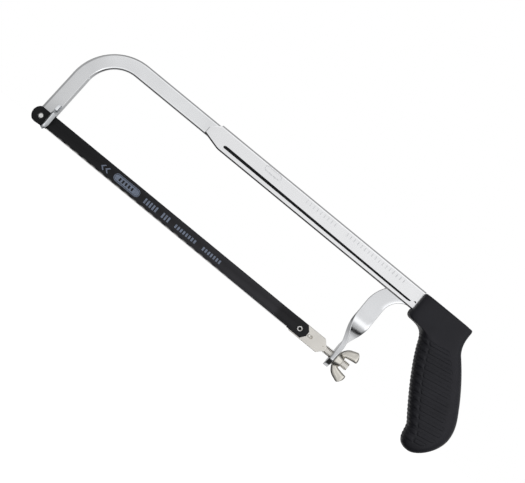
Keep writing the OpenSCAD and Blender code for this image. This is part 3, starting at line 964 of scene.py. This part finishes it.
def grip_skin(a, b):
    """Smooth rings of (u, y, v) points, each a squarish oval from a point of a to one of b."""
    i = np.arange(len(a)) / PER
    half = 12.9 + 2.1 * smoothstep(i, 0, 24)        # half the grip's thickness
    half *= np.sqrt(np.clip(1 - (np.clip(i - 40, 0, None) / 10.0) ** 2, 0, 1))
    power = (0.30 + 0.26 * smoothstep(i, 8, 24))[:, None]
    theta = 2 * math.pi * np.arange(256) / 256
    c, s = np.cos(theta)[None, :], np.sin(theta)[None, :]
    f = np.sign(c) * np.abs(c) ** power
    g = np.sign(s) * np.abs(s) ** power
    middle, reach = (a + b) / 2, (b - a) / 2
    u = middle[:, :1] + f * reach[:, :1]
    v = middle[:, 1:] + f * reach[:, 1:]
    return np.array([evened(ring) for ring in np.stack([u, half[:, None] * g, v], 2)])


def outward(skin, middle):
    """The skin's unit normals, turned away from its middle line."""
    along = np.gradient(skin, axis=0)
    around = (np.roll(skin, -1, 1) - np.roll(skin, 1, 1)) / 2
    normal = np.cross(along, around)
    normal /= np.maximum(np.linalg.norm(normal, axis=2, keepdims=True), 1e-9)
    core = np.stack([middle[:, 0], 0 * middle[:, 0], middle[:, 1]], 1)[:, None, :]
    return normal * np.sign(np.sum(normal * (skin - core), axis=2, keepdims=True))


def grip_relief(skin, normal, a, b):
    """How far each point is raised: ribs with sunk outlines on the sides, bumps at the fingers."""
    u, v = skin[:, :, 0], skin[:, :, 2]
    # how far in from the finger edge and from the back edge, seen from the side
    length = np.linalg.norm(b - a, axis=1)[:, None]
    direction = (b - a) / length
    from_front = (u - a[:, :1]) * direction[:, :1] + (v - a[:, 1:]) * direction[:, 1:]
    from_back = length - from_front
    # ribs counted from the lowest, and the distance to the nearest one
    k = (v * math.cos(RIB_SLOPE) - u * math.sin(RIB_SLOPE) - RIB_LOW) / RIB_PITCH
    off = np.abs(k - np.round(k)) * RIB_PITCH
    rows = smoothstep(k, -0.7, -0.4) * (1 - smoothstep(k, 12.35, 12.6))
    side = smoothstep(np.abs(normal[:, :, 1]), 0.55, 0.8) * rows
    finger = smoothstep(-normal[:, :, 0], 0.5, 0.85) * rows
    # ribs end short of the back edge by border, and of the finger edge
    border = 12.0 - 4.5 * smoothstep(-v, -20, -4) + 1.5 * smoothstep(v, 44, 52)
    end = np.clip(border + 1.35 - from_back, 0, None)
    start = np.clip(9.6 - from_front, 0, None)
    reach_off = np.sqrt(off ** 2 + np.where(end > 0, end, start) ** 2)
    rib = (1 - smoothstep(reach_off, 0.9, 1.5)) * side
    outline = np.exp(-((reach_off - 1.45) / 0.33) ** 2) * side
    groove = np.exp(-((from_front - 8.6) / 0.55) ** 2) * side * (1 - smoothstep(off, 1.5, 2.3))
    knob = (1 - smoothstep(off, 0.7, 1.9)) * (1 - smoothstep(from_front, 6.2, 8.0)) * rows
    fine = 0.5 + 0.5 * np.cos(2 * math.pi * 2 * k)
    relief = 0.22 * rib - 0.30 * outline - 0.30 * groove
    return relief + 0.5 * knob * (1 - finger) + 0.30 * finger * fine


def crown(top):
    """Shrunken copies of the top ring that round off the grip's flat top."""
    centre = top.mean(0)
    away = top - centre
    size = np.array([abs(away[:, 0]).max(), abs(away[:, 1]).max(), 1.0])
    rings = []
    for inset, drop in ((2.6, 0.0), (1.5, 0.08), (0.7, 0.42), (0.2, 1.1)):
        ring = centre + away * (size - inset) / size
        ring[:, 2] = GRIP_TOP - drop
        rings.append(ring)
    return rings


def make_grip():
    """Pistol grip lofted from its finger edge to its back edge, with moulded relief."""
    a = edge_line(FINGER_EDGE, FINGER_COUNTS)
    b = edge_line(BACK_EDGE, BACK_COUNTS)
    skin = grip_skin(a, b)
    normal = outward(skin, (a + b) / 2)
    skin = skin + normal * grip_relief(skin, normal, a, b)[:, :, None]
    skin[:, :, 2] = np.clip(skin[:, :, 2], HEEL_V, GRIP_TOP)
    skin[:, :, 0] = np.minimum(skin[:, :, 0], BACK_U)
    rings = crown(skin[0]) + [ring for ring in skin if ring[:, 2].min() < CROWN_V]
    return loft("grip_moulding", [[tuple(p) for p in ring] for ring in rings])


grip = make_grip()
grip.data.shade_smooth()
dress(grip, "rear_frame", "grip_plastic", grip_plastic, "grip")

for name in ("post_rivets", "grip_screw", "tail_stud"):
    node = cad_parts[name]
    node.data.materials.clear()
    node.data.materials.append(plain_steel)

# -------- stage, light and camera

WIDE = 392.1 * MM       # what the picture's width covers at the saw
STUDIO = 2.55           # brightest that metal mirrors, where the surroundings' levels are 1
LENS, SENSOR = 100.0, 36.0
ROLL = math.radians(39.448)


def add_floor():
    """A white ground below the saw that only the camera sees."""
    far, low = 6.0, -0.20
    mesh = bpy.data.meshes.new("floor")
    mesh.from_pydata([(-far, -far, low), (far, -far, low), (far, far, low), (-far, far, low)], [],
                     [(0, 1, 2, 3)])
    floor = link("floor", mesh)
    s = Shader("floor_white", (0.93, 0.93, 0.93), roughness=0.9)
    s.set("Specular IOR Level", 0.0)
    s.set("Emission Color", (1, 1, 1, 1))
    s.set("Emission Strength", 0.6)
    floor.data.materials.append(s.material)
    floor.visible_glossy = floor.visible_diffuse = floor.visible_shadow = False


def ramp(tree, value, stops):
    """A grey level along a value, through (value, level) stops that run from -1 to 1."""
    turn = tree.nodes.new("ShaderNodeMapRange")
    turn.inputs["From Min"].default_value = -1
    tree.links.new(value, turn.inputs["Value"])
    band = tree.nodes.new("ShaderNodeValToRGB")
    tree.links.new(turn.outputs["Result"], band.inputs["Fac"])
    elements = band.color_ramp.elements
    points = [((at + 1) / 2, (level, level, level, 1)) for at, level in stops]
    elements[0].color, elements[-1].color = points[0][1], points[-1][1]
    for at, colour in points[1:-1]:
        elements.new(at).color = colour
    return band.outputs["Color"]


def blend(tree, kind, factor, a, b):
    n = tree.nodes.new("ShaderNodeMixRGB")
    n.blend_type = kind
    for socket, value in zip(n.inputs, (factor, a, b)):
        feed(tree, value, socket)
    return n.outputs[0]


def studio_colour(tree):
    """What metal mirrors, by direction; levels are parts of STUDIO, so some pass white."""
    where = tree.nodes.new("ShaderNodeTexCoord")
    split = tree.nodes.new("ShaderNodeSeparateXYZ")
    tree.links.new(where.outputs["Generated"], split.inputs[0])
    x, y, z = (split.outputs[name] for name in "XYZ")
    hall = ramp(tree, z, [(-1, 0.40), (-0.50, 0.46), (-0.42, 0.76), (-0.33, 0.76), (-0.22, 0.50),
                          (0.2, 0.515), (0.34, 0.55), (0.45, 0.76), (0.56, 0.74), (0.68, 0.48),
                          (1, 0.40)])
    across = ramp(tree, x, [(-1, 0.42), (-0.34, 0.48), (-0.14, 0.56), (0.04, 0.64), (0.34, 0.66),
                            (0.46, 1), (0.66, 1), (0.80, 0.6), (1, 0.6)])
    rim = ramp(tree, z, [(-1, 0.012), (-0.6, 0.016), (-0.2, 0.19), (0.4, 0.20), (1, 0.12)])
    rim_side = ramp(tree, x, [(-1, 0.78), (-0.6, 0.78), (-0.1, 0.88), (1, 1)])
    far = ramp(tree, x, [(-1, 0.05), (-0.35, 0.06), (-0.05, 0.30), (1, 0.30)])
    beside = ramp(tree, y, [(-1, 0), (-0.72, 0), (-0.34, 1), (1, 1)])
    behind = ramp(tree, y, [(-1, 0), (0.42, 0), (0.66, 1), (1, 1)])
    lit = blend(tree, "MULTIPLY", 1.0, hall, across)
    dim = blend(tree, "MULTIPLY", 1.0, rim, rim_side)
    return blend(tree, "MIX", behind, blend(tree, "MIX", beside, lit, dim), far)


def add_world():
    """Plain white for the camera, and studio surroundings for what metal mirrors."""
    world = bpy.data.worlds.new("studio")
    bpy.context.scene.world = world
    world.use_nodes = True
    tree = world.node_tree
    tree.nodes.clear()
    out = tree.nodes.new("ShaderNodeOutputWorld")
    white = tree.nodes.new("ShaderNodeBackground")
    white.inputs["Color"].default_value = (1, 1, 1, 1)
    studio = tree.nodes.new("ShaderNodeBackground")
    studio.inputs["Strength"].default_value = STUDIO
    tree.links.new(studio_colour(tree), studio.inputs["Color"])
    ray = tree.nodes.new("ShaderNodeLightPath")
    mix = tree.nodes.new("ShaderNodeMixShader")
    tree.links.new(ray.outputs["Is Camera Ray"], mix.inputs["Fac"])
    tree.links.new(studio.outputs[0], mix.inputs[1])
    tree.links.new(white.outputs[0], mix.inputs[2])
    tree.links.new(mix.outputs[0], out.inputs["Surface"])


def add_light(name, at, size, power, aim):
    """A round lamp at a place in metres that lights surfaces but isn't mirrored."""
    data = bpy.data.lights.new(name, "AREA")
    data.shape, data.size, data.energy = "DISK", size, power
    lamp = link(name, data)
    lamp.location = at
    lamp.visible_glossy = False
    lamp.rotation_euler = (Vector(aim) - Vector(at)).to_track_quat("-Z", "Y").to_euler()


def add_camera():
    """Square on to the saw's side, rolled so that the nose is up on the left."""
    data = bpy.data.cameras.new("camera")
    data.lens, data.sensor_width = LENS, SENSOR
    camera = link("camera", data)
    right = Vector((math.cos(ROLL), 0, math.sin(ROLL)))
    up = Vector((-math.sin(ROLL), 0, math.cos(ROLL)))
    back = right.cross(up)
    turn = Matrix((right, up, back)).transposed().to_4x4()
    target = place(187.3, 0, 32.4)
    camera.matrix_world = Matrix.Translation(target + back * WIDE * LENS / SENSOR) @ turn
    bpy.context.scene.camera = camera


add_floor()
add_world()
add_light("key", (-0.5, -1.3, 1.1), 1.4, 9, (0, 0, 0.05))
add_light("side", (1.3, -0.5, 0.5), 0.9, 7, (0.1, 0, 0.05))
add_light("rear", (0.6, 1.2, 0.8), 1.2, 5, (0, 0, 0.05))
add_camera()
bpy.context.scene.view_settings.view_transform = "Standard"
